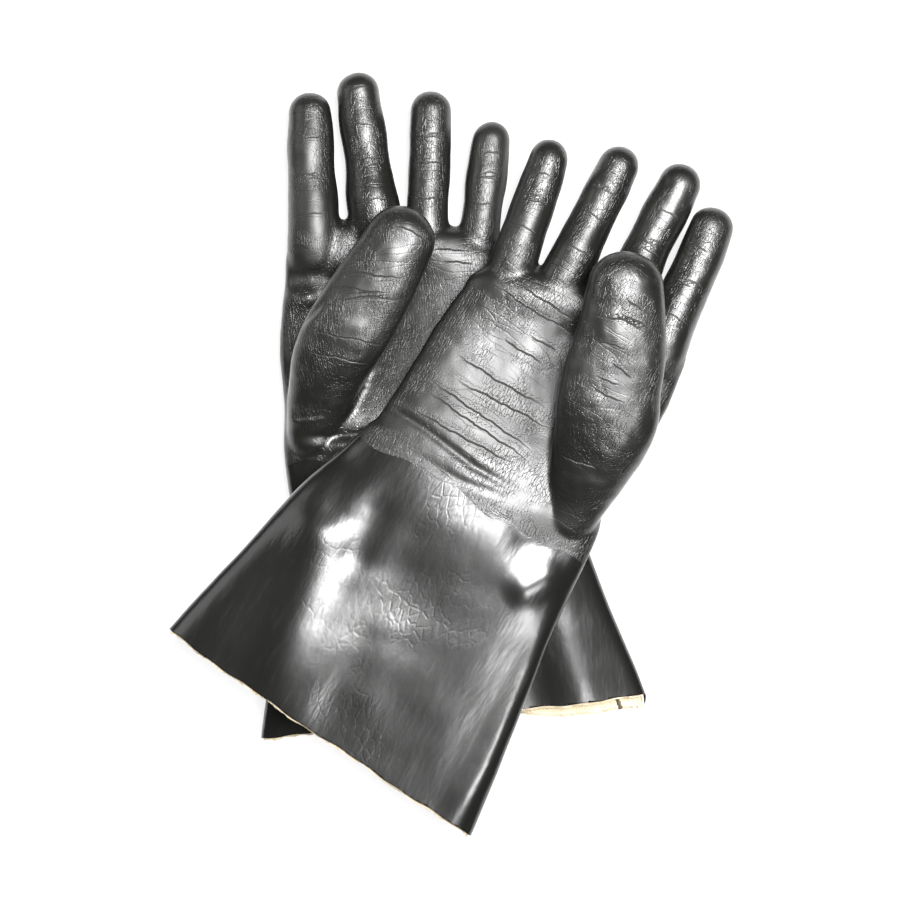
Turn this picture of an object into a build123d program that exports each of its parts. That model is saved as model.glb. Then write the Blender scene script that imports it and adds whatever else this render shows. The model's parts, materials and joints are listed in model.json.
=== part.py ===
from build123d import *
import os
from math import atan2, cos, degrees, hypot, radians, sin, sqrt

os.makedirs("parts", exist_ok=True)

# Pair of lined rubber gauntlet gloves, laid palm side up with one crossed over the other.
# Millimetres. Every glove is drawn in its own frame: X across the hand, Y towards the
# fingertips, Z up from the surface it lies on, with the wrist hinge line at Y = 0.
# The drawing is of the left glove (thumb at -X); the right glove mirrors X.

# film and cloth
rubber = 1.3            # dipped rubber skin
jersey = 1.0            # knitted lining
bond = 0.15             # between skin and lining
play = 0.35             # between a moving piece and its socket
lap = 1.45              # rubber left around a socket

# fingers: stall radius at the root and at the tip
stall_radius = {
    "index": (11.6, 10.4),
    "middle": (12.0, 10.2),
    "ring": (10.7, 9.6),
    "little": (10.2, 9.2),
}
curl = 60.0             # how far a finger folds towards the palm

# thumb: flattened stall, half widths at the root and near the tip
thumb_radius = 10.5
thumb_root_half = 21.5
thumb_tip_half = 16.0
thumb_height = 36.2     # centre of the thumb root above the resting surface
thumb_lift = 5.0        # it rises this much as it lies over the palm
thumb_swing = 60.0
thumb_heel = 22.0       # length of the swelling behind the hinge, towards the wrist

# wrist
wrist_half = 66.0
wrist_radius = 11.5
wrist_height = 13.3
wrist_fold = 60.0

# palm stations: y, centre x, half width, half height
palm_stations = [
    (-2.0, 0.0, 67.8, 13.3),
    (30.0, 0.0, 66.0, 12.9),
    (62.0, 0.0, 64.2, 12.2),
    (92.0, 1.2, 61.6, 12.5),
    (117.0, 4.0, 58.6, 13.7),
]
palm_slope = 6.0        # the finger end of the palm slopes towards the little finger

# each glove: hand (+1 left, -1 right), place on the table, turn, finger roots and tips,
# thumb heel and tip, gauntlet stations (y, centre x, half width, half height, centre height; the last is past
# the cut edge), cuff edge (y and its slope in degrees)
gloves = {
    "left": {
        "hand": 1,
        "at": (-19.894, 2.812, 0.0),
        "turn": 6.5,
        "fingers": {
            "index": ((-40.4, 127.0), (-35.2, 195.0)),
            "middle": ((-7.6, 130.0), (-9.0, 202.0)),
            "ring": ((21.4, 127.0), (30.4, 188.0)),
            "little": ((50.0, 120.0), (62.2, 168.0)),
        },
        "thumb": ((-42.0, 46.0), (16.0, 121.5)),
        "sleeve": [
            (0.0, 0.0, 66.0, 11.5, 13.3),
            (-60.0, 2.5, 80.5, 11.0, 12.0),
            (-148.0, 4.2, 103.0, 11.0, 11.0),
            (-170.0, 4.6, 108.6, 11.0, 11.0),
        ],
        "cuff": (-148.0, 0.0),
    },
    "right": {
        "hand": -1,
        "at": (16.306, -17.888, 28.2),
        "turn": -31.0,
        "fingers": {
            "index": ((-41.2, 124.5), (-32.3, 187.5)),
            "middle": ((-12.0, 128.0), (-6.4, 198.0)),
            "ring": ((20.4, 127.0), (25.6, 190.0)),
            "little": ((49.2, 121.5), (60.6, 174.0)),
        },
        "thumb": ((-41.0, 47.0), (-2.0, 140.5)),
        "sleeve": [
            (0.0, 0.0, 66.0, 11.5, 13.3),
            (-60.0, 4.6, 77.8, 13.0, 14.0),
            (-155.0, 6.2, 95.0, 15.0, 15.5),
            (-178.0, 6.6, 99.2, 15.3, 15.9),
        ],
        "cuff": (-156.0, -3.4),
    },
}
lining_reach = 1.0      # cut edge of the lining beyond the cut edge of the rubber
seam_wide = 3.0
seam_thick = 0.8
far = 200.0


def station(y, x, half, height, level, slope=0.0):
    across = (cos(radians(slope)), -sin(radians(slope)), 0)
    along = (sin(radians(slope)), cos(radians(slope)), 0)
    plane = Plane(origin=(x, y, level), x_dir=across, z_dir=along)
    return plane * SlotOverall(2 * half, 2 * height)


def on_circle(y, radius, angle):
    return (radius * cos(radians(angle)), y + radius * sin(radians(angle)))


def round_arc(y, radius, start, end):
    middle = (start + end) / 2
    return ThreePointArc(
        on_circle(y, radius, start), on_circle(y, radius, middle), on_circle(y, radius, end)
    )


def capsule(half_length, radius):
    # round-ended bar along X, the same from every direction round its own axis
    reach = half_length + radius
    low = half_length + radius * cos(radians(45))
    edges = [
        ThreePointArc((-reach, 0), (-low, radius * sin(radians(45))), (-half_length, radius)),
        Line((-half_length, radius), (half_length, radius)),
        ThreePointArc((half_length, radius), (low, radius * sin(radians(45))), (reach, 0)),
        Line((reach, 0), (-reach, 0)),
    ]
    return revolve(make_face(edges), Axis.X)


def half_capsule(half_length, radius, side):
    block = Pos(0, side * far / 2, 0) * Box(far * 2, far, far)
    return capsule(half_length, radius) & block


def stall(root, tip, length, inset, wall):
    # finger tube along Y: ball root about the hinge point, cone, round tip, open mouth
    outer = root - inset
    inner = outer - wall
    tip_outer = tip - inset
    tip_inner = tip_outer - wall
    centre = length - tip
    mouth = root - 4.2
    back_outer = -degrees(atan2(sqrt(outer**2 - mouth**2), mouth))
    back_inner = -degrees(atan2(sqrt(inner**2 - mouth**2), mouth))
    edges = [
        round_arc(0, outer, back_outer, 0),
        Line((outer, 0), (tip_outer, centre)),
        round_arc(centre, tip_outer, 0, 90),
        Line((0, centre + tip_outer), (0, centre + tip_inner)),
        round_arc(centre, tip_inner, 90, 0),
        Line((tip_inner, centre), (inner, 0)),
        round_arc(0, inner, 0, back_inner),
        Line(on_circle(0, inner, back_inner), on_circle(0, outer, back_outer)),
    ]
    return revolve(make_face(edges), Axis.Y)


def flat_stall(length, inset):
    # solid of the flattened thumb, shrunk by the inset
    radius = thumb_radius - inset
    bar = thumb_root_half - thumb_radius
    tip_bar = thumb_tip_half - thumb_radius
    centre = length - thumb_radius
    sections = [
        station(0, 0, bar + radius, radius, 0),
        station(centre, 0, tip_bar + radius, radius, 0),
    ]
    body = loft(sections)
    root = half_capsule(bar, radius, -1)
    tip = Pos(0, centre, 0) * half_capsule(tip_bar, radius, 1)
    return body + root + tip


def thumb_shell(length, inset, wall):
    shell = flat_stall(length, inset) - flat_stall(length, inset + wall)
    mouth = Pos(0, -21.6, -21.6) * Box(2 * thumb_root_half - 10, 40, 40)
    return shell - mouth


def sweep_cut(radius, half, swing, floor, lip):
    # room for a tube that swings up from +Y about the X axis; the socket's lip stays
    room = radius + play
    turn = radians(swing)
    touch = (-room * sin(turn), room * cos(turn))
    end = (touch[0] + far * cos(turn), touch[1] + far * sin(turn))
    outline = [(lip, -floor), (far, -floor), (far, far), end, touch, (lip, 0)]
    face = Plane.YZ * make_face(Polyline(*outline, outline[0]))
    return Pos(-half, 0, 0) * extrude(face, 2 * half)


def aim(root, tip, height, lift=0.0):
    lean = degrees(atan2(tip[0] - root[0], tip[1] - root[1]))
    return Pos(root[0], root[1], height) * Rot(0, 0, -lean) * Rot(lift, 0, 0)


def palm_solid(hand, inset, first=None, last=None):
    sections = []
    for i, (y, x, half, height) in enumerate(palm_stations):
        at_end = i == len(palm_stations) - 1
        slope = hand * palm_slope if at_end else 0.0
        back = inset if at_end else 0.0
        front = inset if i == 0 and inset else 0.0
        sections.append(
            station(y - back - front, hand * x, half - inset, height - inset, height, slope)
        )
    return loft(sections)


def sleeve_solid(glove, inset):
    sections = []
    for y, x, half, height, level in glove["sleeve"]:
        sections.append(
            station(y, glove["hand"] * x, half - inset, height - inset, level)
        )
    root = half_capsule(wrist_half - wrist_radius, wrist_radius - inset, 1)
    return loft(sections) + Pos(0, 0, wrist_height) * root


def past_cuff(glove, reach):
    edge, slope = glove["cuff"]
    block = Pos(0, -reach - far / 2, 0) * Box(far * 2, far, far)
    return Pos(0, edge, 0) * Rot(0, 0, slope) * block


def sleeve_shell(glove, inset, wall, reach=0.0):
    shell = sleeve_solid(glove, inset) - sleeve_solid(glove, inset + wall)
    shell -= past_cuff(glove, reach)
    hole = SlotOverall(2 * wrist_half - 14, 2 * wrist_radius - 9)
    mouth = extrude(Plane.XZ.offset(-2) * Pos(0, wrist_height) * hole, -30)
    return shell - mouth


def mound(glove, margin):
    # swelling of the palm that carries the thumb root, longer towards the wrist
    radius = thumb_radius + margin
    bar = thumb_root_half - thumb_radius
    wide = bar + radius
    spot = root_of_thumb(glove)
    outline = SlotOverall(2 * wide, 2 * radius)
    floor_level = 12.0 - thumb_height
    column = extrude(Pos(0, 0, floor_level) * outline, -floor_level)
    column += Pos(0, -thumb_heel, 0) * column
    block = Box(2 * bar + 2 * radius, thumb_heel, -floor_level)
    column += Pos(0, -thumb_heel / 2, floor_level / 2) * block
    bar_end = station(0, 0, wide, radius, 0)
    body = loft([bar_end, Pos(0, -thumb_heel, 0) * bar_end])
    body += capsule(bar, radius)
    body += Pos(0, -thumb_heel, 0) * half_capsule(bar, radius, -1)
    return spot * Rot(-thumb_lift, 0, 0) * (column + body)


def side(glove, point):
    return (glove["hand"] * point[0], point[1])


def thumb_line(glove):
    heel, tip = glove["thumb"]
    length = hypot(tip[0] - heel[0], tip[1] - heel[1])
    part_way = thumb_heel / length
    x = heel[0] + (tip[0] - heel[0]) * part_way
    y = heel[1] + (tip[1] - heel[1]) * part_way
    return (x, y), tip


def root_of_thumb(glove):
    root, tip = thumb_line(glove)
    return aim(side(glove, root), side(glove, tip), thumb_height, thumb_lift)


def finger_spot(glove, name):
    root, tip = glove["fingers"][name]
    height = stall_radius[name][0] + play + lap + 0.2
    return aim(side(glove, root), side(glove, tip), height)


def finger_length(glove, name):
    root, tip = glove["fingers"][name]
    return hypot(tip[0] - root[0], tip[1] - root[1])


def palm_skin(glove):
    outer = palm_solid(glove["hand"], 0)
    inner = palm_solid(glove["hand"], rubber)
    for name, (root, tip) in stall_radius.items():
        spot = finger_spot(glove, name)
        tube = Pos(0, -5, 0) * Rot(90, 0, 0) * Cylinder(root + play + lap, 14)
        bore = Pos(0, -9, 0) * Rot(90, 0, 0) * Cylinder(root + play, 18)
        outer += spot * tube
        inner += spot * (bore + Sphere(root + play))
    outer += mound(glove, play + lap)
    inner += mound(glove, play)
    inner += Pos(0, 0, wrist_height) * capsule(wrist_half - wrist_radius, wrist_radius + play)
    skin = outer - inner
    for name, (root, tip) in stall_radius.items():
        cut = sweep_cut(root, root + play + lap + 0.3, curl, root + 6, 2)
        skin -= finger_spot(glove, name) * cut
    cut = sweep_cut(thumb_radius, thumb_root_half + play + lap + 0.3, thumb_swing, 10.85, 2)
    skin -= root_of_thumb(glove) * cut
    cut = sweep_cut(wrist_radius, wrist_half + 6, wrist_fold, 40, 0)
    skin -= Pos(0, 0, wrist_height) * Rot(0, 0, 180) * cut
    return skin


def palm_lining(glove):
    inset = rubber + bond
    shell = palm_solid(glove["hand"], inset) - palm_solid(glove["hand"], inset + jersey)
    block = Pos(0, -far / 2 + wrist_radius + 1.5, 0) * Box(far * 2, far, far)
    shell -= block
    ahead = Pos(glove["hand"] * 4, 109 + far / 2, 0) * Box(far * 2, far, far)
    shell -= Rot(0, 0, -glove["hand"] * palm_slope) * ahead
    for name, (root, tip) in stall_radius.items():
        shell -= finger_spot(glove, name) * Sphere(root + play + 0.2)
    shell -= mound(glove, play + 0.15)
    return shell


def seam(glove):
    # stitched closing seam of the lining, inside the gauntlet on the little finger side
    inset = rubber + bond + jersey + 0.12
    strip = sleeve_solid(glove, inset) - sleeve_solid(glove, inset + seam_thick)
    strip -= past_cuff(glove, -1.0)
    y_end, x_end, half_end, height_end, level_end = glove["sleeve"][-2]
    droop = degrees(atan2(wrist_height - level_end, -y_end))
    length = -y_end
    slab = Box(far, length, seam_wide)
    slab = Pos(glove["hand"] * far / 2, -20 - length / 2, 0) * slab
    return strip & (Pos(0, 0, wrist_height) * Rot(droop, 0, 0) * slab)


def build(side_name, glove):
    pieces = {}
    pieces["palm_skin"] = palm_skin(glove)
    pieces["palm_lining"] = palm_lining(glove)
    pieces["gauntlet_skin"] = sleeve_shell(glove, 0, rubber)
    pieces["gauntlet_lining"] = sleeve_shell(glove, rubber + bond, jersey, lining_reach)
    pieces["gauntlet_seam"] = seam(glove)
    for name, (root, tip) in stall_radius.items():
        spot = finger_spot(glove, name)
        length = finger_length(glove, name)
        pieces[name + "_skin"] = spot * stall(root, tip, length, 0, rubber)
        pieces[name + "_lining"] = spot * stall(root, tip, length, rubber + bond, jersey)
    spot = root_of_thumb(glove)
    root, tip = thumb_line(glove)
    length = hypot(tip[0] - root[0], tip[1] - root[1])
    pieces["thumb_skin"] = spot * thumb_shell(length, 0, rubber)
    pieces["thumb_lining"] = spot * thumb_shell(length, rubber + bond, jersey)
    place = Pos(*glove["at"]) * Rot(0, 0, glove["turn"])
    for name, piece in pieces.items():
        solids = (place * piece).solids()
        solids = sorted(solids, key=lambda s: s.volume, reverse=True)
        export_step(solids[0], "parts/" + side_name + "_" + name + ".step")


for side_name, glove in gloves.items():
    build(side_name, glove)
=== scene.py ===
import json
import math
import bpy
import numpy as np
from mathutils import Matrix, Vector


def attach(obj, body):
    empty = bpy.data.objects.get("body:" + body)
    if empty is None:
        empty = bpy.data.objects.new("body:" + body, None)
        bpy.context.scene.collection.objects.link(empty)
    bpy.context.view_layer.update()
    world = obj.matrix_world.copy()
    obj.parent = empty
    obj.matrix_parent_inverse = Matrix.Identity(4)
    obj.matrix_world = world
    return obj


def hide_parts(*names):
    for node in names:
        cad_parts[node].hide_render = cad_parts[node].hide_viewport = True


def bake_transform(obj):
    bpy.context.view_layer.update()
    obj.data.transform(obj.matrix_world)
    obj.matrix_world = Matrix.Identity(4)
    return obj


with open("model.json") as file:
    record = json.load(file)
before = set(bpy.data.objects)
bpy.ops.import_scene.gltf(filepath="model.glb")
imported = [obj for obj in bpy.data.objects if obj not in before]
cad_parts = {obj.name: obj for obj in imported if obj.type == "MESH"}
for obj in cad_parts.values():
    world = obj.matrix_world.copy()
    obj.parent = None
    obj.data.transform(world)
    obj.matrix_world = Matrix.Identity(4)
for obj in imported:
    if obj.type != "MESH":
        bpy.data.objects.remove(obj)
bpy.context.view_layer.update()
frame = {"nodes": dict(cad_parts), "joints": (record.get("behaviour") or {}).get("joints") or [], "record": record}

record = frame["record"]
mm = 0.001

# what a user would change, one entry per piece; lengths in mm in the glove's own frame:
# x away from the thumb, y from the wrist towards the fingertips, z up from where it lies
voxelSize = 1.2
filmThick = 1.25
lining = {"gap": 0.15, "thick": 1.0, "reach": 1.0, "detail": 0.35}
seamLooks = {"side": 0.88, "wide": 1.8, "thick": 0.9, "stitch": 2.6}
# fingers and thumb: how far past the hinge a piece begins, where it starts to bend and where it
# bends fully; wrist: where the sleeve is parted from the palm
bend = {"finger": (-3.0, 0.0, 24.0), "thumb": (5.0, 6.5, 40.0), "wrist": 14.0}
# uneven swell of the whole skin: height and size of its lumps
swells = {"hand": (0.16, 26), "sleeveLess": 0.10, "sleeve": (0.35, 70), "fine": (0.05, 9),
          "fineSleeveLess": 0.045, "fineThumbMore": 0.05, "fingers": (0.3, 36)}
# how far up the sleeve the cut end is shaped, and where its own shading begins
cuffReach = 45
cuffShading = -95
# how far a thin crease wavers, how wide its mark is kept, and the distance stored away from any
creaseLooks = {"waver": ((0.35, 2.7), (0.15, 0.9)), "wide": 2.6, "none": 9.0}
gloveLooks = {
    "left": {
        "body": [  # x, y, z, half width, half height, squareness
            (4.0, -172, 10.5, 110, 9.6, 3.1), (3.8, -148, 10.5, 104.6, 9.8, 3.1),
            (3.2, -105, 11.5, 92.8, 10.6, 3.0), (2.2, -60, 12.5, 81.4, 11.6, 2.8),
            (0.8, -25, 13.2, 71.5, 12.6, 2.5), (-1.8, 0, 13.2, 69, 12.6, 2.5),
            (-1.0, 25, 12.8, 66.8, 12.0, 2.6), (-1.0, 55, 12.2, 65.8, 11.0, 2.7),
            (1.4, 85, 12.2, 62.2, 10.8, 2.7), (4.0, 106, 12.8, 59, 11.2, 2.6),
            (6.0, 116, 12.6, 52, 9.0, 2.4), (7.0, 121.5, 12.4, 42, 5.5, 2.2)],
        "fingerWidth": {"index": (14.6, 12.4, 11.2), "middle": (15.0, 12.3, 11.4),
                        "ring": (11.8, 11.2, 10.9), "little": (11.2, 10.8, 10.2)},
        "thumb": [
            (-58, -4, 13, 11, 9, 2.2), (-53, 15, 17, 14.5, 11, 2.2), (-46, 33, 23, 18.5, 13, 2.2),
            (-38, 50, 30.5, 21.5, 13, 2.2), (-29, 62.5, 36, 22.6, 11.4, 2.2),
            (-22, 71.5, 37.8, 22.4, 10.8, 2.2), (-9, 88, 39.6, 21, 11.2, 2.2),
            (4, 106, 41.5, 18.6, 10.9, 2.1), (16, 121.5, 43, 16.4, 10.2, 2.0)],
        "coatEdge": -4.0,
        "cuff": {"y": -147.5, "slope": 0.0, "lip": 7.0, "lipFrom": 18},
    },
    "right": {
        "body": [
            (7.0, -180, 13.6, 99.2, 12, 3.1), (6.6, -156, 13.6, 95.6, 12, 3.1),
            (6.0, -105, 13.6, 86.4, 12.1, 3.1), (4.8, -60, 13.6, 78, 12.4, 2.9),
            (1.8, -25, 13.4, 70.5, 12.8, 2.5), (0.4, 0, 13.2, 66.4, 12.6, 2.5),
            (2.2, 22, 12.8, 62.4, 12.0, 2.6), (0.8, 53, 12.2, 63.4, 11.0, 2.7),
            (0.4, 88, 12.2, 62, 10.8, 2.7), (3.2, 106, 12.8, 58.4, 11.2, 2.6),
            (5.0, 114, 12.6, 52, 9.0, 2.4), (6.0, 119.5, 12.4, 42, 5.5, 2.2)],
        "fingerWidth": {"index": (13.6, 12.0, 11.2), "middle": (14.2, 12.0, 11.2),
                        "ring": (13.2, 11.3, 10.6), "little": (12.6, 11.0, 10.2)},
        "thumb": [
            (-46.5, -8, 13, 11, 9, 2.2), (-46.5, 15, 17, 15.5, 11, 2.2), (-43.8, 33, 23, 20, 13, 2.2),
            (-40.2, 50, 30.5, 24.6, 13, 2.2), (-35.8, 64, 36, 26.8, 11.4, 2.2),
            (-31, 74, 37.8, 26.4, 10.8, 2.2), (-23, 97, 40, 24.2, 11.2, 2.2),
            (-11.5, 121, 42.5, 20.2, 11.0, 2.1), (-2.5, 140.5, 44, 17.2, 10.2, 2.0)],
        "coatEdge": -10.5,
        "cuff": {"y": -155.5, "slope": 3.4, "lip": 1.5, "lipFrom": -60},
    },
}
# folds and creases on the palm side: layer, height (below 0 is a crease), width, line
folds = {
    "right": [
        ("palm", -0.9, 1.5, [(82, 12), (67, 9.6), (40, 9), (10, 5.5), (-27, 5.5)]),
        ("palm", 0.8, 4.4, [(84, 17), (40, 14), (10, 11), (-27, 11)]),
        ("palm", -4.5, 11, [(-22, 16), (-10, 58), (1, 94), (12, 122)]),
        ("palm", 0.35, 3.4, [(66, 3), (40, 3.4), (10, 0), (-24, 0)]),
        ("palm", -0.45, 1.4, [(49, -5.7), (11, -4.4), (-27, 3.2)]),
        ("palm", -1.2, 12, [(28, 62), (10, 40)]),
        ("cuff", 2.8, 11, [(68, -2), (60, -41), (54, -74), (44, -117), (24, -190)]),
        ("cuff", 1.1, 8, [(32, -14), (28, -48), (26, -77), (23, -112), (16, -185)]),
        ("cuff", 3.2, 42, [(50, -150)]),
        ("cuff", 2.4, 26, [(-46, -16), (4, -18)]),
        ("cuff", -1.8, 8, [(64, -30), (60, -50)]),
        ("cuff", -0.8, 7, [(40, -42), (36, -64)]),
        ("cuff", 1.2, 9, [(66, -68)]),
        ("cuff", 0.7, 8, [(4, -93), (-6, -124)]),
        ("cuff", 1.5, 6, [(-58, -14), (-51, -30), (-40, -47)]),
        ("cuff", -1.4, 7, [(-50, -7), (-36, -14)]),
        ("cuff", 2.0, 6, [(-64, -10), (-74, -80), (-78, -127), (-78, -190)]),
    ],
    "left": [
        ("palm", -1.0, 1.8, [(-86, 12), (-39, 9), (0, 8), (70, 7)]),
        ("palm", 1.0, 3.0, [(-70, 20.6), (-44, 20.4)]),
        ("palm", -6.5, 17, [(-38, 16), (-28, 52), (-6, 84), (18, 114)]),
        ("palm", 0.7, 3.0, [(-80, 5), (20, 2)]),
        ("palm", 1.8, 3.4, [(-61, 90), (-52, 84), (-41, 87)]),
        ("palm", -1.8, 5, [(-50, 96), (-38, 94)]),
        ("thumb", -1.0, 1.5, [(-54, 68), (-36, 82)]),
        ("cuff", 2.5, 12, [(56, -30), (80, -185)]),
        ("cuff", -2.0, 10, [(38, -40), (52, -185)]),
    ],
}
# thin creases: layer and line
creases = {
    "right": [
        ("palm", [(43, 99), (3, 97.4)]),
        ("palm", [(50, 92), (25, 90.5), (0, 91.5)]),
        ("palm", [(31, 70), (4, 69.8)]),
        ("palm", [(19, 79), (2, 79.3)]),
        ("palm", [(50, 51), (20, 50), (-10, 51.4)]),
        ("palm", [(41, 39), (11, 41.4), (-16, 43)]),
        ("palm", [(55, 32.4), (20, 30.2), (-15, 28.4)]),
        ("palm", [(55, 27), (20, 24.3), (-16, 23)]),
        ("palm", [(56, 14.4), (23, 15.5), (-12, 17.6)]),
        ("thumb", [(-3, 102), (-16, 107.5), (-31, 109.4)]),
        ("thumb", [(-13, 110), (-33, 111.6)]),
        ("thumb", [(-13, 117.6), (-24, 117)]),
        ("thumb", [(-14, 93), (-26, 95.3)]),
        ("thumb", [(-23, 86.6), (-37, 84.5)]),
        ("thumb", [(-20, 76), (-33, 79)]),
        ("thumb", [(-20, 70.5), (-40, 71.8)]),
        ("thumb", [(-25, 33), (-46, 37)]),
    ],
    "left": [
        ("palm", [(-4, 105), (24, 95.6)]),
        ("palm", [(20, 102.6), (41, 100)]),
        ("palm", [(24, 95.6), (43, 92.4)]),
        ("thumb", [(-35, 80), (-15, 79), (1, 75.7)]),
        ("thumb", [(-36, 88), (-3.5, 79)]),
        ("thumb", [(-28, 94.8), (5, 85.7)]),
        ("thumb", [(-47, 65), (-9, 53)]),
        ("thumb", [(-51, 55), (-18, 44)]),
        ("thumb", [(3, 115), (20, 105)]),
    ],
}
# creases across each finger: how far along, left end, right end, slant
fingerCreases = {
    "index": ((0.02, -9, 8, 0.10), (0.30, -2, 9, -0.05), (0.34, -7, 4, 0.02), (0.62, -3, 8, 0.08)),
    "middle": ((0.03, -8, 9, -0.08), (0.29, -8, 6, 0.12), (0.34, -4, 9, 0.02), (0.38, -8, 2, 0.05),
               (0.60, -7, 5, -0.1)),
    "ring": ((0.05, -8, 8, 0.06), (0.36, -9, 8, 0.04), (0.58, -8, 9, -0.05), (0.61, -3, 8, 0.03)),
    "little": ((0.08, -8, 8, 0.1), (0.36, -7, 6, -0.06), (0.42, -3, 7, 0.02), (0.64, -5, 8, 0.05)),
}
fingerNames = ("index", "middle", "ring", "little")
rubberLooks = {
    "crackle": 1.0, "creases": 0.7, "pebbles": 0.35, "coatRelief": 0.065, "step": 0.12,
    "creaseRelief": 0.22, "coatGloss": (0.29, 0.42), "coatColour": (0.007, 0.007, 0.006, 1),
    "speckColour": (0.07, 0.07, 0.066, 1),
    "peel": 0.1, "crinkle": 0.2, "filmRelief": 0.11, "filmGloss": 0.24,
    "filmColour": (0.006, 0.006, 0.0055, 1), "scuffColour": (0.010, 0.010, 0.009, 1), "shine": 0.62,
}
roomLight = {
    "fill": 0.05,
    "lamps": (  # name, place, aimed at, size, watts
        ("softbox", (0.27, 0.2, 1.35), (0.05, 0.05, 0), (0.54, 0.54), 49),
        ("lowSoftbox", (0.42, -0.55, 1.3), (0, 0, 0), (0.25, 0.25), 7),
        ("sideFill", (-1.1, 0.5, 0.9), (0, 0, 0), (0.7, 0.7), 3.5),
    ),
}


def nodePoints(node):
    # vertices of a frame node, in mm
    data = frame["nodes"][node].data
    flat = np.empty(len(data.vertices) * 3)
    data.vertices.foreach_get("co", flat)
    return flat.reshape(-1, 3) / mm


def gloveFrame(side):
    # the glove's own frame, read from its cuff mount and its palm node
    mount = next(m for m in record["mounts"] if m["name"] == side + "_cuff_mouth")
    along = -np.array(mount["axis"], float)
    along /= np.linalg.norm(along)
    across = np.array((along[1], -along[0], 0))
    palm = nodePoints(side + "_palm_skin")
    start = (palm @ along).min()
    rim = palm[palm @ along < start + 2] @ across
    base = palm[:, 2].min()
    origin = along * start + across * (rim.min() + rim.max()) / 2 + np.array((0, 0, base))
    hand = 1 if side == "left" else -1
    return {"side": side, "origin": origin, "x": across * hand, "y": along}


def toWorld(glove, rows):
    rows = np.asarray(rows, float)
    lifted = np.outer(rows[:, 2], (0, 0, 1))
    flat = np.outer(rows[:, 0], glove["x"]) + np.outer(rows[:, 1], glove["y"])
    return (glove["origin"] + flat + lifted) * mm


def toGlove(glove, points):
    rel = np.asarray(points, float) / mm - glove["origin"]
    return np.stack((rel @ glove["x"], rel @ glove["y"], rel[:, 2]), axis=1)


def jointOf(child):
    return next(j for j in frame["joints"] if j["child"] == child)


def stallLine(glove, finger):
    # hinge point and tip of a finger or thumb, from its joint and its node
    joint = jointOf(glove["side"] + "_" + finger)
    hinge = np.array(joint["pos_m"]) / mm
    forward = np.cross((0, 0, 1), joint["axis"])
    points = nodePoints(glove["side"] + "_" + finger + "_skin")
    tip = hinge + forward * ((points - hinge) @ forward).max()
    return toGlove(glove, [hinge * mm])[0], toGlove(glove, [tip * mm])[0]


def active(obj):
    bpy.ops.object.select_all(action="DESELECT")
    obj.select_set(True)
    bpy.context.view_layer.objects.active = obj


def smoothRows(rows, places):
    # rows of a table, read smoothly between the given ones
    rows = np.asarray(rows, float)
    gap = np.linalg.norm(np.diff(rows[:, :3], axis=0), axis=1)
    at = np.concatenate(([0], np.cumsum(gap)))
    slope = np.gradient(rows, at, axis=0)
    s = np.asarray(places) * at[-1]
    k = np.clip(np.searchsorted(at, s, side="right") - 1, 0, len(at) - 2)
    h = (at[k + 1] - at[k])[:, None]
    t = ((s - at[k]) / h[:, 0])[:, None]
    a = (2 * t**3 - 3 * t**2 + 1) * rows[k] + (t**3 - 2 * t**2 + t) * h * slope[k]
    b = (3 * t**2 - 2 * t**3) * rows[k + 1] + (t**3 - t**2) * h * slope[k + 1]
    return a + b, s, at[-1]


def power(value, exponent):
    return np.sign(value) * np.abs(value) ** exponent


def tube(glove, name, rows, startRound, endRound, rings=64, segments=64):
    # a closed sphere primitive drawn out into a tube along the rows of the table
    bpy.ops.object.select_all(action="DESELECT")
    bpy.ops.mesh.primitive_uv_sphere_add(segments=segments, ring_count=rings, radius=1)
    obj = bpy.context.object
    obj.name = name
    flat = np.empty(len(obj.data.vertices) * 3)
    obj.data.vertices.foreach_get("co", flat)
    ball = flat.reshape(-1, 3)
    ring = np.arccos(np.clip(ball[:, 2], -1, 1)) / math.pi
    around = np.arctan2(ball[:, 1], ball[:, 0])
    table, s, length = smoothRows(rows, 0.5 - 0.5 * np.cos(math.pi * ring))
    ahead = smoothRows(rows, np.clip(s / length + 0.01, 0, 1))[0][:, :3]
    behind = smoothRows(rows, np.clip(s / length - 0.01, 0, 1))[0][:, :3]
    forward = ahead - behind
    forward /= np.linalg.norm(forward, axis=1)[:, None]
    sideways = np.cross(forward, (0, 0, 1))
    sideways /= np.linalg.norm(sideways, axis=1)[:, None]
    up = np.cross(sideways, forward)
    startPart = np.clip((startRound - s) / startRound, 0, 1)
    endPart = np.clip((s - length + endRound) / endRound, 0, 1)
    shrink = np.sqrt(np.clip(1 - startPart**2, 0, 1)) * np.sqrt(np.clip(1 - endPart**2, 0, 1))
    roundness = 2 / table[:, 5]
    wide = table[:, 3] * power(np.cos(around), roundness) * shrink
    high = table[:, 4] * power(np.sin(around), roundness) * shrink
    points = table[:, :3] + sideways * wide[:, None] + up * high[:, None]
    obj.data.vertices.foreach_set("co", toWorld(glove, points).ravel())
    obj.data.update()
    return obj


def fingerRows(glove, finger, looks):
    hinge, tip = stallLine(glove, finger)
    root, middle, end = looks["fingerWidth"][finger]
    line = tip - hinge
    length = np.linalg.norm(line)
    unit = line / length
    rows = []
    sections = (  # how far along, half width, half height before scaling, rise
        (-34, root, 7.6, -1), (-14, root, 9.8, 0), (0, root - 0.6, 11.0, 0),
        (0.3 * length, middle + 0.2, 10.8, 0), (0.6 * length, middle, 10.4, 0.6),
        (0.85 * length, end, 10.0, 1.2), (length, end, 9.6, 1.5))
    for at, wide, high, rise in sections:
        point = hinge + unit * at
        rows.append((point[0], point[1], hinge[2] + rise, wide, high * wide / 11.8, 2.15))
    return rows


def applyModifier(obj, kind, **settings):
    active(obj)
    modifier = obj.modifiers.new("m", kind)
    for key, value in settings.items():
        setattr(modifier, key, value)
    bpy.ops.object.modifier_apply(modifier=modifier.name)


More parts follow.
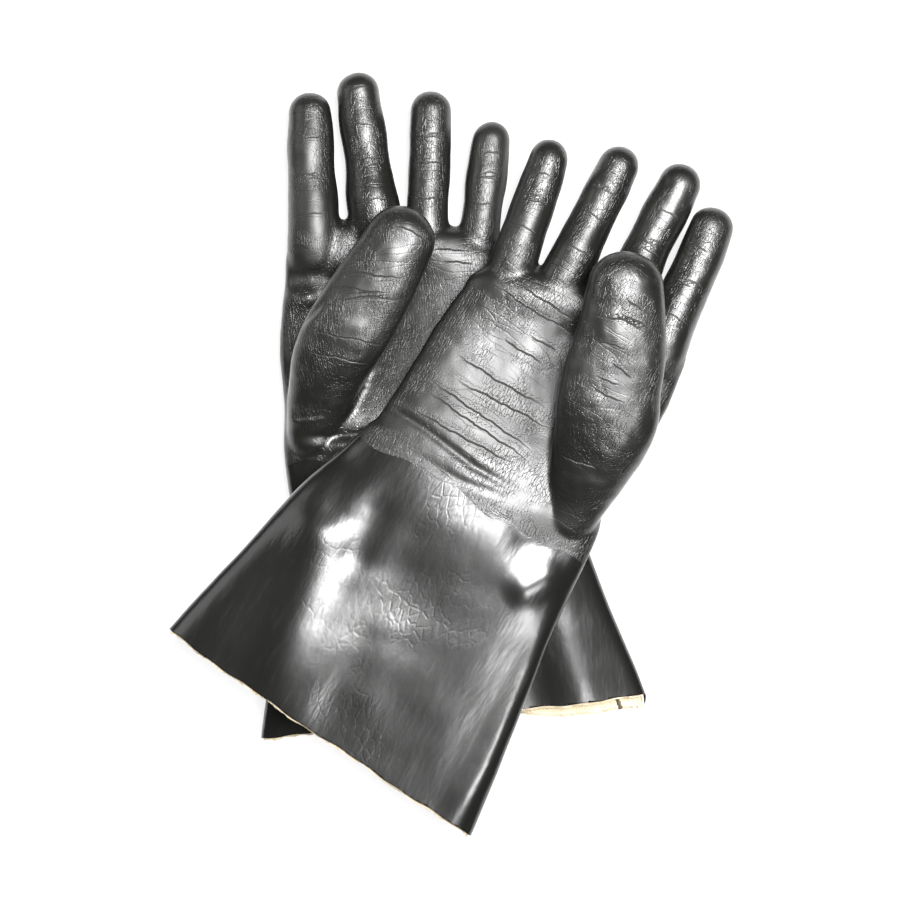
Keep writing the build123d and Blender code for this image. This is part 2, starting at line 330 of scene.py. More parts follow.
def join(objs, name):
    bpy.ops.object.select_all(action="DESELECT")
    for obj in objs:
        obj.select_set(True)
    bpy.context.view_layer.objects.active = objs[0]
    bpy.ops.object.join()
    objs[0].name = name
    return objs[0]


def wholeGlove(glove):
    looks = gloveLooks[glove["side"]]
    parts = [tube(glove, "body", looks["body"], 6, 9, 96, 96)]
    for finger in fingerNames:
        parts.append(tube(glove, finger, fingerRows(glove, finger, looks), 8, 10.5))
    parts.append(tube(glove, "thumb", looks["thumb"], 14, 15))
    for part in parts:
        active(part)
        bpy.ops.object.mode_set(mode="EDIT")
        bpy.ops.mesh.select_all(action="SELECT")
        bpy.ops.mesh.normals_make_consistent(inside=False)
        bpy.ops.object.mode_set(mode="OBJECT")
    whole = join(parts, glove["side"] + "_whole")
    applyModifier(whole, "REMESH", mode="VOXEL", voxel_size=voxelSize * mm, adaptivity=0)
    applyModifier(whole, "SMOOTH", factor=0.5, iterations=9)
    print("whole", glove["side"], len(whole.data.vertices))
    return whole


def readArray(data, name, width=3):
    flat = np.empty(len(data) * width)
    data.foreach_get(name, flat)
    return flat.reshape(-1, width) if width > 1 else flat


def lineDistance(points, line):
    # distance in the plane from each point to a broken line, and how far along it that is, 0 to 1
    line = np.asarray(line, float)
    if len(line) == 1:
        return np.linalg.norm(points - line[0], axis=1), np.full(len(points), 0.5)
    best = np.full(len(points), 1e9)
    place = np.zeros(len(points))
    lengths = np.linalg.norm(np.diff(line, axis=0), axis=1)
    begun = 0.0
    for a, b, length in zip(line[:-1], line[1:], lengths):
        way = (b - a) / length
        along = np.clip((points - a) @ way, 0, length)
        gap = np.linalg.norm(points - a - along[:, None] * way, axis=1)
        nearer = gap < best
        best[nearer] = gap[nearer]
        place[nearer] = (begun + along[nearer]) / lengths.sum()
        begun += length
    return best, place


def lineLength(line):
    return np.linalg.norm(np.diff(np.asarray(line, float), axis=0), axis=1).sum()


def smoothStep(low, high, value):
    t = np.clip((value - low) / (high - low), 0, 1)
    return t * t * (3 - 2 * t)


def lumps(points, size, seed):
    # gentle irregular swell, about -1 to 1
    rng = np.random.default_rng(seed)
    total = np.zeros(len(points))
    for i in range(9):
        way = rng.normal(size=3)
        way /= np.linalg.norm(way)
        wave = size * rng.uniform(0.7, 1.6)
        total += np.sin(points @ way * (2 * math.pi / wave) + rng.uniform(0, 6.28))
    return total / 3.2


def layersOf(points, normals):
    # how far each point belongs to the palm, the thumb, the fingers or the sleeve
    up = smoothStep(0.05, 0.6, normals[:, 2])
    thumb = smoothStep(26.5, 29, points[:, 2]) * (points[:, 1] > 20) * (points[:, 0] < 30)
    return {"palm": (1 - thumb) * up, "cuff": up, "thumb": thumb * up,
            "finger": 0.6 * (thumb < 0.5) * up}


def fold(glove, whole):
    # folds, creases and an uneven swell pushed into the surface
    mesh = whole.data
    points = toGlove(glove, readArray(mesh.vertices, "co"))
    normals = readArray(mesh.vertex_normals, "vector")
    layers = layersOf(points, normals)
    sleeve = smoothStep(0, 1, (4 - points[:, 1]) / 20)
    height, size = swells["hand"]
    push = (height - swells["sleeveLess"] * sleeve) * lumps(points, size, 3)
    height, size = swells["sleeve"]
    push += height * sleeve * lumps(points, size, 8)
    height, size = swells["fine"]
    height = height - swells["fineSleeveLess"] * sleeve + swells["fineThumbMore"] * layers["thumb"]
    push += height * lumps(points, size, 5)
    height, size = swells["fingers"]
    push += height * smoothStep(0, 1, (points[:, 1] - 116) / 20) * lumps(points, size, 12)
    for layer, height, width, line in folds[glove["side"]]:
        away, place = lineDistance(points[:, :2], line)
        swell = height * np.exp(-0.5 * (away / width) ** 2) * layers[layer]
        if lineLength(line) > 5 * width:
            swell *= smoothStep(0, 0.35, place) * smoothStep(0, 0.35, 1 - place)
        push += swell
    outwards = np.stack((normals @ glove["x"], normals @ glove["y"], normals[:, 2]), axis=1)
    points += outwards * push[:, None]
    mesh.vertices.foreach_set("co", toWorld(glove, points).ravel())
    mesh.update()


def creaseLines(glove):
    # every thin crease of a glove as its layer and its broken line
    lines = list(creases[glove["side"]])
    for finger in fingerNames:
        hinge, tip = stallLine(glove, finger)
        line = (tip - hinge)[:2]
        across = np.array((line[1], -line[0])) / np.linalg.norm(line)
        for part, low, high, slant in fingerCreases[finger]:
            middle = hinge[:2] + line * part
            slope = line / np.linalg.norm(line) * slant
            ends = [middle + across * at + slope * at for at in (low, high)]
            lines.append(("finger", [tuple(end) for end in ends]))
    return lines


def creaseMarks(glove, points, layers):
    # signed distance to the nearest crease, and a fade that ends with the crease
    away = np.full(len(points), creaseLooks["none"])
    fade = np.zeros(len(points))
    for layer, line in creaseLines(glove):
        corners = np.asarray(line, float)
        lengths = np.linalg.norm(np.diff(corners, axis=0), axis=1)
        total = lengths.sum()
        begun = 0.0
        for a, b, length in zip(corners[:-1], corners[1:], lengths):
            way = (b - a) / length
            rel = points[:, :2] - a
            along = rel @ way
            side = rel @ np.array((-way[1], way[0]))
            (slow, slowSize), (quick, quickSize) = creaseLooks["waver"]
            side += slow * np.sin(along / slowSize + a[1]) + quick * np.sin(along / quickSize)
            inside = (along > -0.3) & (along < length + 0.3)
            done = begun + along
            ends = smoothStep(-1, total * 0.3, done) * smoothStep(-1, total * 0.3, total - done)
            near = smoothStep(0, 1, creaseLooks["wide"] - np.abs(side))
            strength = ends * near * layers[layer] * inside
            nearer = np.abs(side) < np.abs(away)
            chosen = nearer & (strength > 0)
            away[chosen] = side[chosen]
            fade[chosen] = strength[chosen]
            begun += length
    return away, fade


def marks(glove, whole):
    # what the later steps read: the glove's own coordinates, the distance from the coat's edge
    # and the direction of the unbroken surface
    mesh = whole.data
    points = toGlove(glove, readArray(mesh.vertices, "co"))
    shift = np.array((0, 0, 0)) if glove["side"] == "left" else np.array((400, 150, 0))
    attribute = mesh.attributes.new("gloveCoord", "FLOAT_VECTOR", "POINT")
    attribute.data.foreach_set("vector", ((points + shift) * mm).ravel())
    wave = 1.6 * np.sin(points[:, 0] / 13) + np.sin(points[:, 0] / 5.2)
    edge = gloveLooks[glove["side"]]["coatEdge"] + wave
    attribute = mesh.attributes.new("coatEdge", "FLOAT", "POINT")
    attribute.data.foreach_set("value", (points[:, 1] - edge) * mm)
    normals = readArray(mesh.vertex_normals, "vector")
    away, fade = creaseMarks(glove, points, layersOf(points, normals))
    attribute = mesh.attributes.new("creaseAway", "FLOAT", "POINT")
    attribute.data.foreach_set("value", away * mm)
    attribute = mesh.attributes.new("creaseFade", "FLOAT", "POINT")
    attribute.data.foreach_set("value", fade)
    attribute = mesh.attributes.new("wholeNormal", "FLOAT_VECTOR", "POINT")
    attribute.data.foreach_set("vector", normals.ravel())


def takeOff(obj, chosen, name):
    # separates the chosen faces as a piece of their own
    active(obj)
    bpy.context.tool_settings.mesh_select_mode = (False, False, True)
    mesh = obj.data
    mesh.vertices.foreach_set("select", np.zeros(len(mesh.vertices), bool))
    mesh.edges.foreach_set("select", np.zeros(len(mesh.edges), bool))
    mesh.polygons.foreach_set("select", chosen)
    mesh.update()
    bpy.ops.object.mode_set(mode="EDIT")
    bpy.ops.mesh.separate(type="SELECTED")
    bpy.ops.object.mode_set(mode="OBJECT")
    piece = next(o for o in bpy.context.selected_objects if o is not obj)
    piece.name = name
    return piece


def faceCentres(glove, obj):
    return toGlove(glove, readArray(obj.data.polygons, "center"))


def stallFaces(glove, centres, finger):
    # faces beyond the line where the stall leaves the palm, and nearer to it than to its neighbours
    hinge, tip = stallLine(glove, finger)
    line = (tip - hinge)[:2] / np.linalg.norm((tip - hinge)[:2])
    rel = centres[:, :2] - hinge[:2]
    along = rel @ line
    sideways = np.abs(rel @ np.array((line[1], -line[0])))
    if finger == "thumb":
        level = 24.5 + 0.09 * (along - bend["thumb"][0])
        return (along > bend["thumb"][0]) & (centres[:, 2] > level) & (sideways < 32)
    nearest = np.ones(len(centres), bool)
    for other in fingerNames:
        if other != finger:
            otherHinge, otherTip = stallLine(glove, other)
            otherLine = (otherTip - otherHinge)[:2] / np.linalg.norm((otherTip - otherHinge)[:2])
            otherRel = centres[:, :2] - otherHinge[:2]
            nearest &= sideways < np.abs(otherRel @ np.array((otherLine[1], -otherLine[0])))
    return (along > bend["finger"][0]) & nearest & (centres[:, 2] < 27)


def inPlane(glove, vector):
    return vector[0] * glove["x"] + vector[1] * glove["y"] + vector[2] * np.array((0, 0, 1.0))


def trimCuff(glove, obj):
    # the sleeve is cut off by hand at the cuff
    cuff = gloveLooks[glove["side"]]["cuff"]
    slope = math.radians(cuff["slope"])
    normal = inPlane(glove, (math.sin(slope), -math.cos(slope), 0))
    point = toWorld(glove, [(0, cuff["y"], 0)])[0]
    active(obj)
    bpy.ops.object.mode_set(mode="EDIT")
    bpy.ops.mesh.select_all(action="SELECT")
    bpy.ops.mesh.bisect(plane_co=point, plane_no=normal, clear_outer=True, threshold=1e-6)
    bpy.ops.object.mode_set(mode="OBJECT")


def lipOut(glove, obj, extra=0.0, ragged=0.0):
    # the lower lip of the cut reaches further on one side, and the edge wavers
    cuff = gloveLooks[glove["side"]]["cuff"]
    mesh = obj.data
    points = toGlove(glove, readArray(mesh.vertices, "co"))
    edgeY = cuff["y"] + math.tan(math.radians(cuff["slope"])) * points[:, 0]
    nearCuff = smoothStep(0, 1, (edgeY + cuffReach - points[:, 1]) / cuffReach)
    low = smoothStep(0, 1, (13 - points[:, 2]) / 7)
    reach = cuff["lip"] * low * smoothStep(cuff["lipFrom"], cuff["lipFrom"] + cuffReach, points[:, 0])
    atEdge = smoothStep(0, 1, (edgeY + 3 - points[:, 1]) / 3)
    waver = 0.4 * np.sin(points[:, 0] / 9) + 0.25 * np.sin(points[:, 0] / 3.1)
    rough = ragged * lumps(points * (1, 0, 1), 4.0, 11)
    points[:, 1] -= nearCuff * reach + atEdge * (waver + extra + rough)
    mesh.vertices.foreach_set("co", toWorld(glove, points).ravel())
    mesh.update()


def hollow(glove, obj, thick, inward):
    # moves the surface in along its normals, gives it a wall and keeps the unbroken shading
    stored = readArray(obj.data.attributes["wholeNormal"].data, "vector")
    if inward:
        points = readArray(obj.data.vertices, "co") - stored * inward * mm
        obj.data.vertices.foreach_set("co", points.ravel())
        obj.data.update()
    outer = len(obj.data.vertices)
    applyModifier(obj, "SOLIDIFY", thickness=thick * mm, offset=-1, use_even_offset=False,
                  use_rim=True)
    mesh = obj.data
    active(obj)
    bpy.ops.object.shade_smooth()
    own = readArray(mesh.vertex_normals, "vector")
    kept = own.copy()
    kept[:outer] = stored
    kept[outer:2 * outer] = -stored
    nearCuff = toGlove(glove, readArray(mesh.vertices, "co"))[:, 1] < cuffShading
    kept[nearCuff] = own[nearCuff]
    mesh.normals_split_custom_set_from_vertices(kept)
    mesh.attributes.remove(mesh.attributes["wholeNormal"])


def copyOf(obj, name):
    active(obj)
    bpy.ops.object.duplicate()
    copy = bpy.context.object
    copy.name = name
    return copy


def seamStrip(glove):
    # folded edge of the lining, overcast with thread, from the wrist down to the cut cuff
    looks = seamLooks
    bpy.ops.object.select_all(action="DESELECT")
    bpy.ops.mesh.primitive_cylinder_add(vertices=12, radius=1, depth=1, end_fill_type="NGON")
    strip = bpy.context.object
    strip.name = glove["side"] + "_gauntlet_seam.look"
    ends = readArray(strip.data.vertices, "co")[:, 2]
    edges = np.array([edge.vertices[:] for edge in strip.data.edges])
    lengthwise = ends[edges[:, 0]] * ends[edges[:, 1]] < 0
    bpy.context.tool_settings.mesh_select_mode = (False, True, False)
    strip.data.vertices.foreach_set("select", np.zeros(len(ends), bool))
    strip.data.polygons.foreach_set("select", np.zeros(len(strip.data.polygons), bool))
    strip.data.edges.foreach_set("select", lengthwise)
    bpy.ops.object.mode_set(mode="EDIT")
    bpy.ops.mesh.subdivide(number_cuts=99)
    bpy.ops.mesh.subdivide(number_cuts=3)
    bpy.ops.object.mode_set(mode="OBJECT")
    shape = readArray(strip.data.vertices, "co")
    cuff = gloveLooks[glove["side"]]["cuff"]
    cuffY = cuff["y"] + math.tan(math.radians(cuff["slope"])) * looks["side"] * 100 - lining["reach"]
    alongSeam = -20 + (shape[:, 2] + 0.5) * (cuffY + 20)
    rows = np.array(gloveLooks[glove["side"]]["body"])[::-1]
    rows = rows[np.argsort(rows[:, 1])]
    centreX, centreZ, wide, high = (np.interp(alongSeam, rows[:, 1], rows[:, k]) for k in (0, 2, 3, 4))
    wall = filmThick + lining["gap"] + lining["thick"]
    drop = (1 - looks["side"] ** 2.5) ** 0.4
    stitch = 1 + 0.22 * np.cos(alongSeam * 2 * math.pi / looks["stitch"])
    points = np.zeros_like(shape)
    points[:, 0] = centreX + looks["side"] * wide - wall * 0.6 + shape[:, 0] * looks["wide"] / 2 * stitch
    points[:, 1] = alongSeam + 0.35 * np.sin(alongSeam / 2.3)
    points[:, 2] = centreZ - drop * high + wall + looks["thick"] / 2
    points[:, 2] += shape[:, 0] * looks["wide"] * 0.28 + shape[:, 1] * looks["thick"] / 2 * stitch
    strip.data.vertices.foreach_set("co", toWorld(glove, points).ravel())
    attribute = strip.data.attributes.new("gloveCoord", "FLOAT_VECTOR", "POINT")
    attribute.data.foreach_set("vector", (points * mm).ravel())
    active(strip)
    bpy.ops.object.mode_set(mode="EDIT")
    bpy.ops.mesh.select_all(action="SELECT")
    bpy.ops.mesh.normals_make_consistent(inside=False)
    bpy.ops.object.mode_set(mode="OBJECT")
    bpy.ops.object.shade_smooth()
    lipOut(glove, strip)
    return strip


def buildGlove(side):
    glove = gloves[side]
    whole = wholeGlove(glove)
    fold(glove, whole)
    marks(glove, whole)
    trimCuff(glove, whole)
    pieces = {}
    for finger in fingerNames + ("thumb",):
        chosen = stallFaces(glove, faceCentres(glove, whole), finger)
        pieces[finger] = takeOff(whole, chosen, side + "_" + finger + "_skin.look")
    chosen = faceCentres(glove, whole)[:, 1] < bend["wrist"]
    pieces["gauntlet"] = takeOff(whole, chosen, side + "_gauntlet_skin.look")
    whole.name = side + "_palm_skin.look"
    pieces["palm"] = whole
    linings = {}
    for name, piece in pieces.items():
        cloth = copyOf(piece, side + "_" + name + "_lining.look")
        applyModifier(cloth, "DECIMATE", ratio=lining["detail"])
        if name == "gauntlet":
            lipOut(glove, cloth, lining["reach"], 0.35)
        hollow(glove, cloth, lining["thick"], filmThick + lining["gap"])
        linings[name] = cloth
    for name, piece in pieces.items():
        if name == "gauntlet":
            lipOut(glove, piece)
        hollow(glove, piece, filmThick, 0)
        print(side, name, len(piece.data.polygons), len(linings[name].data.polygons))
    return pieces, linings


def dress(piece, material):
    piece.data.materials.clear()
    piece.data.materials.append(material)


def settle(side, name, piece, node):
    # each piece takes its hidden node's place; only palm pieces and the left sleeve follow the hand's body
    glove = gloves[side]
    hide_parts(node)
    if name in fingerNames + ("thumb",):
        hinge, tip = stallLine(glove, name)
        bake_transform(piece)
    elif name == "gauntlet" and side == "right":
        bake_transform(piece)
    else:
        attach(piece, side + "_hand")


gloves = {side: gloveFrame(side) for side in ("left", "right")}


def nodeGroup(name, inputs, outputs):
    # a shader group with named inputs (name, value) and outputs (name, kind)
    group = bpy.data.node_groups.new(name, "ShaderNodeTree")
    for label, value in inputs:
        kind = "NodeSocketVector" if label == "Place" else "NodeSocketFloat"
        socket = group.interface.new_socket(label, in_out="INPUT", socket_type=kind)
        if value is not None:
            socket.default_value = value
    for label, kind in outputs:
        group.interface.new_socket(label, in_out="OUTPUT", socket_type=kind)
    source = group.nodes.new("NodeGroupInput")
    target = group.nodes.new("NodeGroupOutput")
    return group, source, target


def feed(tree, socket, value):
    if isinstance(value, bpy.types.NodeSocket):
        tree.links.new(value, socket)
    else:
        socket.default_value = value


def sums(tree, operation, first, second=0.0, third=None):
    node = tree.nodes.new("ShaderNodeMath")
    node.operation = operation
    feed(tree, node.inputs[0], first)
    feed(tree, node.inputs[1], second)
    if third is not None:
        feed(tree, node.inputs[2], third)
    return node.outputs[0]


def stretched(tree, place, scale):
    node = tree.nodes.new("ShaderNodeVectorMath")
    node.operation = "MULTIPLY"
    feed(tree, node.inputs[0], place)
    node.inputs[1].default_value = scale
    return node.outputs[0]


def noise(tree, place, scale, detail=2.0, rough=0.5):
    node = tree.nodes.new("ShaderNodeTexNoise")
    feed(tree, node.inputs["Vector"], place)
    node.inputs["Scale"].default_value = scale
    node.inputs["Detail"].default_value = detail
    node.inputs["Roughness"].default_value = rough
    return node.outputs["Fac"]


def cells(tree, place, scale, feature, output, randomness=1.0):
    node = tree.nodes.new("ShaderNodeTexVoronoi")
    node.feature = feature
    feed(tree, node.inputs["Vector"], place)
    feed(tree, node.inputs["Scale"], scale)
    node.inputs["Randomness"].default_value = randomness
    return node.outputs[output]


def between(tree, value, low, high, outLow=0.0, outHigh=1.0):
    node = tree.nodes.new("ShaderNodeMapRange")
    node.interpolation_type = "SMOOTHSTEP"
    feed(tree, node.inputs["Value"], value)
    limits = {"From Min": low, "From Max": high, "To Min": outLow, "To Max": outHigh}
    for label, number in limits.items():
        feed(tree, node.inputs[label], number)
    return node.outputs["Result"]


# how fine each pattern is, as texture scales
coatScales = {"drift": 90, "crack": 760, "crackPatches": 55, "crease": 190, "creasePatches": 34,
              "pebble": 950, "fine": 1500, "speck": 430, "speckPatches": 260, "rub": 20}
filmScales = {"peel": 620, "runs": 130, "crinkle": 260, "crinklePatches": 22, "scuffs": 380}


def wrinkledCoatGroup():
    # dried second coat: hair-fine crackle along the hand, thin folds across it, small lighter and glossier specks
    group, source, target = nodeGroup(
        "wrinkledCoat", [("Place", None), ("Crackle", 1.0), ("Creases", 1.0), ("Pebbles", 0.4)],
        [("Height", "NodeSocketFloat"), ("Specks", "NodeSocketFloat"), ("Rub", "NodeSocketFloat")])
    place = source.outputs["Place"]
    drift = noise(group, place, coatScales["drift"], 3, 0.6)
    bent = group.nodes.new("ShaderNodeVectorMath")
    bent.operation = "MULTIPLY_ADD"
    feed(group, bent.inputs[0], drift)
    bent.inputs[1].default_value = (0.004, 0.003, 0.003)
    feed(group, bent.inputs[2], place)
    along = stretched(group, bent.outputs[0], (1.0, 0.28, 0.8))
    across = stretched(group, bent.outputs[0], (0.13, 1.0, 0.5))
    crackEdge = cells(group, along, coatScales["crack"], "DISTANCE_TO_EDGE", "Distance")
    crack = between(group, crackEdge, 0.0, 0.09, -1.0, 0.0)
    crackMask = between(group, noise(group, place, coatScales["crackPatches"], 2), 0.36, 0.6)
    crack = sums(group, "MULTIPLY", crack, crackMask)
    creaseEdge = cells(group, across, coatScales["crease"], "DISTANCE_TO_EDGE", "Distance")
    crease = between(group, creaseEdge, 0.0, 0.055, -1.0, 0.0)
    creaseMask = between(group, noise(group, place, coatScales["creasePatches"], 2), 0.42, 0.62)
    crease = sums(group, "MULTIPLY", crease, creaseMask)
    pebble = cells(group, bent.outputs[0], coatScales["pebble"], "SMOOTH_F1", "Distance")
    fine = noise(group, place, coatScales["fine"], 2)
    height = sums(group, "MULTIPLY", crack, source.outputs["Crackle"])
    height = sums(group, "ADD", height, sums(group, "MULTIPLY", crease, source.outputs["Creases"]))
    height = sums(group, "SUBTRACT", height, sums(group, "MULTIPLY", pebble, source.outputs["Pebbles"]))
    height = sums(group, "MULTIPLY_ADD", fine, 0.18, height)
    speckSize = cells(group, place, coatScales["speck"], "F1", "Distance")
    speckPick = between(group, noise(group, place, coatScales["speckPatches"], 1), 0.6, 0.66)
    specks = sums(group, "MULTIPLY", between(group, speckSize, 0.10, 0.16, 1.0, 0.0), speckPick)
    feed(group, target.inputs["Height"], height)
    feed(group, target.inputs["Specks"], specks)
    feed(group, target.inputs["Rub"], noise(group, place, coatScales["rub"], 3, 0.55))
    return group


def thinCreaseGroup():
    # a hair-wide crease where the signed distance passes nought
    group, source, target = nodeGroup("thinCrease", [("Away", 0.01), ("Fade", 0.0)],
                                      [("Depth", "NodeSocketFloat")])
    away = sums(group, "ABSOLUTE", source.outputs["Away"])
    line = between(group, away, 0.00005, 0.00062, 1.0, 0.0)
    feed(group, target.inputs["Depth"], sums(group, "MULTIPLY", line, source.outputs["Fade"]))
    return group


def dippedFilmGroup():
    # smooth first coat: faint orange peel, slow runs down the sleeve and handling scuffs
    group, source, target = nodeGroup(
        "dippedFilm", [("Place", None), ("Peel", 1.0), ("Crinkle", 1.0)],
        [("Height", "NodeSocketFloat"), ("Scuffs", "NodeSocketFloat")])
    place = source.outputs["Place"]
    peel = noise(group, place, filmScales["peel"], 2, 0.5)
    runs = noise(group, stretched(group, place, (1.0, 0.3, 1.0)), filmScales["runs"], 3, 0.55)
    longer = stretched(group, place, (1.0, 0.6, 1.0))
    crinkleEdge = cells(group, longer, filmScales["crinkle"], "DISTANCE_TO_EDGE", "Distance")
    crinkle = between(group, crinkleEdge, 0.0, 0.16, -1.0, 0.0)
    crinkleMask = between(group, noise(group, place, filmScales["crinklePatches"], 2), 0.5, 0.66)
    crinkle = sums(group, "MULTIPLY", crinkle, crinkleMask)
    height = sums(group, "MULTIPLY", peel, source.outputs["Peel"])
    height = sums(group, "MULTIPLY_ADD", runs, 1.6, height)
    height = sums(group, "ADD", height, sums(group, "MULTIPLY", crinkle, source.outputs["Crinkle"]))
    scuffs = noise(group, stretched(group, place, (1.0, 0.12, 1.0)), filmScales["scuffs"], 3, 0.65)
    scuffs = between(group, scuffs, 0.56, 0.74)
    feed(group, target.inputs["Height"], height)
    feed(group, target.inputs["Scuffs"], scuffs)
    return group


def jerseyKnitGroup():
    # rows of small knitted loops, with fluff; the colour is painted shade, lighter on loop tops, darker between
    # loops
    group, source, target = nodeGroup(
        "jerseyKnit", [("Place", None), ("Fluff", 1.0)],
        [("Height", "NodeSocketFloat"), ("Shade", "NodeSocketFloat")])
    place = source.outputs["Place"]
    loops = cells(group, stretched(group, place, (1.0, 0.75, 1.0)), 900, "F1", "Distance", 0.35)
    fluff = noise(group, place, 700, 4, 0.7)
    height = sums(group, "SUBTRACT", sums(group, "MULTIPLY", fluff, source.outputs["Fluff"]), loops)
    feed(group, target.inputs["Height"], height)
    # painted shade: colour follows loop height, darker in the hollows between loops, plus random tone
    shade = between(group, height, -0.6, 0.7)
    shade = sums(group, "MULTIPLY_ADD", noise(group, place, 60, 3), 0.4, shade)
    feed(group, target.inputs["Shade"], shade)
    return group


def newMaterial(name):
    material = bpy.data.materials.new(name)
    material.use_nodes = True
    return material, material.node_tree, material.node_tree.nodes["Principled BSDF"]


def ownCoordinates(tree):
    node = tree.nodes.new("ShaderNodeAttribute")
    node.attribute_name = "gloveCoord"
    return node.outputs["Vector"]


def attributeValue(tree, name):
    node = tree.nodes.new("ShaderNodeAttribute")
    node.attribute_name = name
    return node.outputs["Fac"]


def placeGroup(tree, group, values):
    node = tree.nodes.new("ShaderNodeGroup")
    node.node_tree = group
    for label, value in values.items():
        feed(tree, node.inputs[label], value)
    return node


def mixColour(tree, factor, first, second):
    node = tree.nodes.new("ShaderNodeMix")
    node.data_type = "RGBA"
    feed(tree, node.inputs[0], factor)
    feed(tree, node.inputs[6], first)
    feed(tree, node.inputs[7], second)
    return node.outputs[2]


def mixValue(tree, factor, first, second):
    node = tree.nodes.new("ShaderNodeMix")
    feed(tree, node.inputs[0], factor)
    feed(tree, node.inputs[2], first)
    feed(tree, node.inputs[3], second)
    return node.outputs[0]


def bump(tree, shader, height, distance, strength=1.0):
    node = tree.nodes.new("ShaderNodeBump")
    node.inputs["Strength"].default_value = strength
    node.inputs["Distance"].default_value = distance
    feed(tree, node.inputs["Height"], height)
    feed(tree, shader.inputs["Normal"], node.outputs["Normal"])


def gloveRubber(name, looks):
    # both coats in one material, parted where the second coat ends
    material, tree, shader = newMaterial(name)
    place = ownCoordinates(tree)
    coat = between(tree, attributeValue(tree, "coatEdge"), -0.0006, 0.0004)
    coatNode = placeGroup(tree, wrinkledCoat, {"Place": place, "Crackle": looks["crackle"],
                                               "Creases": looks["creases"], "Pebbles": looks["pebbles"]})
    filmNode = placeGroup(tree, dippedFilm, {"Place": place, "Peel": looks["peel"],
                                             "Crinkle": looks["crinkle"]})
    crease = placeGroup(tree, thinCrease, {"Away": attributeValue(tree, "creaseAway"),
                                           "Fade": attributeValue(tree, "creaseFade")})
    coatHeight = sums(tree, "MULTIPLY_ADD", coatNode.outputs["Height"], looks["coatRelief"], looks["step"])
    depth = crease.outputs["Depth"]
    coatHeight = sums(tree, "MULTIPLY_ADD", depth, -looks["creaseRelief"], coatHeight)
    filmHeight = sums(tree, "MULTIPLY", filmNode.outputs["Height"], looks["filmRelief"])
    bump(tree, shader, mixValue(tree, coat, filmHeight, coatHeight), mm)
    coatRough = between(tree, coatNode.outputs["Rub"], 0.3, 0.7, *looks["coatGloss"])
    coatRough = sums(tree, "MULTIPLY_ADD", coatNode.outputs["Specks"], -0.12, coatRough)
    coatRough = sums(tree, "MULTIPLY_ADD", depth, 0.3, coatRough)
    filmRough = sums(tree, "MULTIPLY_ADD", filmNode.outputs["Scuffs"], 0.02, looks["filmGloss"])
    feed(tree, shader.inputs["Roughness"], mixValue(tree, coat, filmRough, coatRough))
    coatColour = mixColour(tree, coatNode.outputs["Specks"], looks["coatColour"], looks["speckColour"])
    filmColour = mixColour(tree, filmNode.outputs["Scuffs"], looks["filmColour"], looks["scuffColour"])
    feed(tree, shader.inputs["Base Color"], mixColour(tree, coat, filmColour, coatColour))
    shader.inputs["Specular IOR Level"].default_value = looks["shine"]
    return material


def clothMaterial(name, looks):
    material, tree, shader = newMaterial(name)
    knit = placeGroup(tree, jerseyKnit, {"Place": ownCoordinates(tree), "Fluff": looks["fluff"]})
    # dark in the hollows between loops and light on loop tops: painted shade, with random tone
    feed(tree, shader.inputs["Base Color"],
         mixColour(tree, knit.outputs["Shade"], looks["dark"], looks["light"]))
    shader.inputs["Roughness"].default_value = 0.92
    shader.inputs["Specular IOR Level"].default_value = 0.15
    bump(tree, shader, knit.outputs["Height"], looks["relief"] * mm)
    return material


wrinkledCoat = wrinkledCoatGroup()
thinCrease = thinCreaseGroup()
dippedFilm = dippedFilmGroup()
jerseyKnit = jerseyKnitGroup()
handRubber = gloveRubber("handRubber", rubberLooks)
gauntletRubber = gloveRubber("gauntletRubber", rubberLooks)
jersey = clothMaterial("jerseyLining", {"light": (0.80, 0.69, 0.50, 1), "dark": (0.52, 0.41, 0.26, 1),
                                        "fluff": 1.2, "relief": 0.45})
seamThread = clothMaterial("seamThread", {"light": (0.16, 0.13, 0.09, 1), "dark": (0.05, 0.04, 0.03, 1),
                                          "fluff": 0.8, "relief": 0.3})

for side in gloves:
    pieces, linings = buildGlove(side)
    for name, piece in pieces.items():
        dress(piece, gauntletRubber if name == "gauntlet" else handRubber)
        settle(side, name, piece, side + "_" + name + "_skin")
    for name, cloth in linings.items():
        dress(cloth, jersey)
        settle(side, name, cloth, side + "_" + name + "_lining")
    strip = seamStrip(gloves[side])
    dress(strip, seamThread)
    settle(side, "gauntlet", strip, side + "_gauntlet_seam")
    print("settled", side)

floorLooks = {"size": 12, "drop": 0.0005, "white": 0.9, "rough": 0.9, "glow": 0.82, "shade": 0.22}
bpy.ops.object.select_all(action="DESELECT")
bpy.ops.mesh.primitive_plane_add(size=floorLooks["size"], location=(0, 0, -floorLooks["drop"]))
floor = bpy.context.object
floor.name = "floor"
floorMaterial, floorTree, floorShader = newMaterial("floorWhite")
floorShader.inputs["Base Color"].default_value = (floorLooks["white"],) * 3 + (1,)
floorShader.inputs["Roughness"].default_value = floorLooks["rough"]
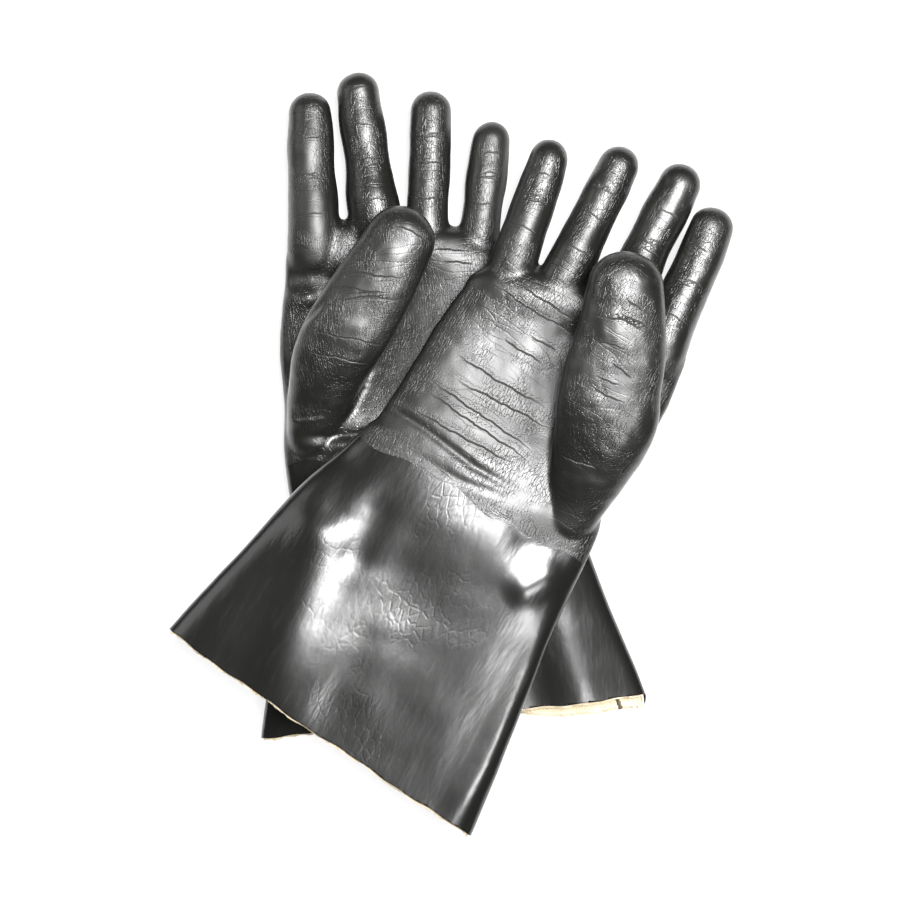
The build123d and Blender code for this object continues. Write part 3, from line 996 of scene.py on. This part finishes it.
# to the camera the paper glows evenly and takes only a faint shadow
glow = floorTree.nodes.new("ShaderNodeEmission")
glow.inputs["Strength"].default_value = floorLooks["glow"]
pale = floorTree.nodes.new("ShaderNodeBsdfDiffuse")
pale.inputs["Color"].default_value = (floorLooks["shade"],) * 3 + (1,)
both = floorTree.nodes.new("ShaderNodeAddShader")
floorTree.links.new(glow.outputs[0], both.inputs[0])
floorTree.links.new(pale.outputs[0], both.inputs[1])
seen = floorTree.nodes.new("ShaderNodeLightPath")
choose = floorTree.nodes.new("ShaderNodeMixShader")
floorTree.links.new(seen.outputs["Is Camera Ray"], choose.inputs[0])
floorTree.links.new(floorShader.outputs[0], choose.inputs[1])
floorTree.links.new(both.outputs[0], choose.inputs[2])
floorTree.links.new(choose.outputs[0], floorTree.nodes["Material Output"].inputs["Surface"])
floor.data.materials.append(floorMaterial)

view = {"centre": (-0.00099, -0.00009), "height": 1.12, "lens": 82.2}
camData = bpy.data.cameras.new("camera")
camData.lens = view["lens"]
camData.sensor_width = 36
camera = bpy.data.objects.new("camera", camData)
bpy.context.scene.collection.objects.link(camera)
camera.location = (*view["centre"], view["height"])
camera.rotation_euler = (0, 0, 0)
bpy.context.scene.camera = camera

world = bpy.data.worlds.new("studio")
bpy.context.scene.world = world
world.use_nodes = True
sky = world.node_tree.nodes["Background"]
sky.inputs["Color"].default_value = (1, 1, 1, 1)
sky.inputs["Strength"].default_value = roomLight["fill"]
backdrop = world.node_tree.nodes.new("ShaderNodeBackground")
backdrop.inputs["Color"].default_value = (1, 1, 1, 1)
skySeen = world.node_tree.nodes.new("ShaderNodeLightPath")
skyChoose = world.node_tree.nodes.new("ShaderNodeMixShader")
skyLinks = world.node_tree.links
skyLinks.new(skySeen.outputs["Is Camera Ray"], skyChoose.inputs[0])
skyLinks.new(sky.outputs[0], skyChoose.inputs[1])
skyLinks.new(backdrop.outputs[0], skyChoose.inputs[2])
skyLinks.new(skyChoose.outputs[0], world.node_tree.nodes["World Output"].inputs["Surface"])
print("floor, camera and sky ready")


def areaLight(name, place, aim, size, watts):
    data = bpy.data.lights.new(name, "AREA")
    data.shape = "RECTANGLE"
    data.size, data.size_y = size
    data.energy = watts
    lamp = bpy.data.objects.new(name, data)
    bpy.context.scene.collection.objects.link(lamp)
    lamp.location = place
    direction = Vector(aim) - Vector(place)
    lamp.rotation_euler = direction.to_track_quat("-Z", "Y").to_euler()


for lamp in roomLight["lamps"]:
    areaLight(*lamp)

bpy.context.scene.view_settings.view_transform = "Standard"
print("stage ready")
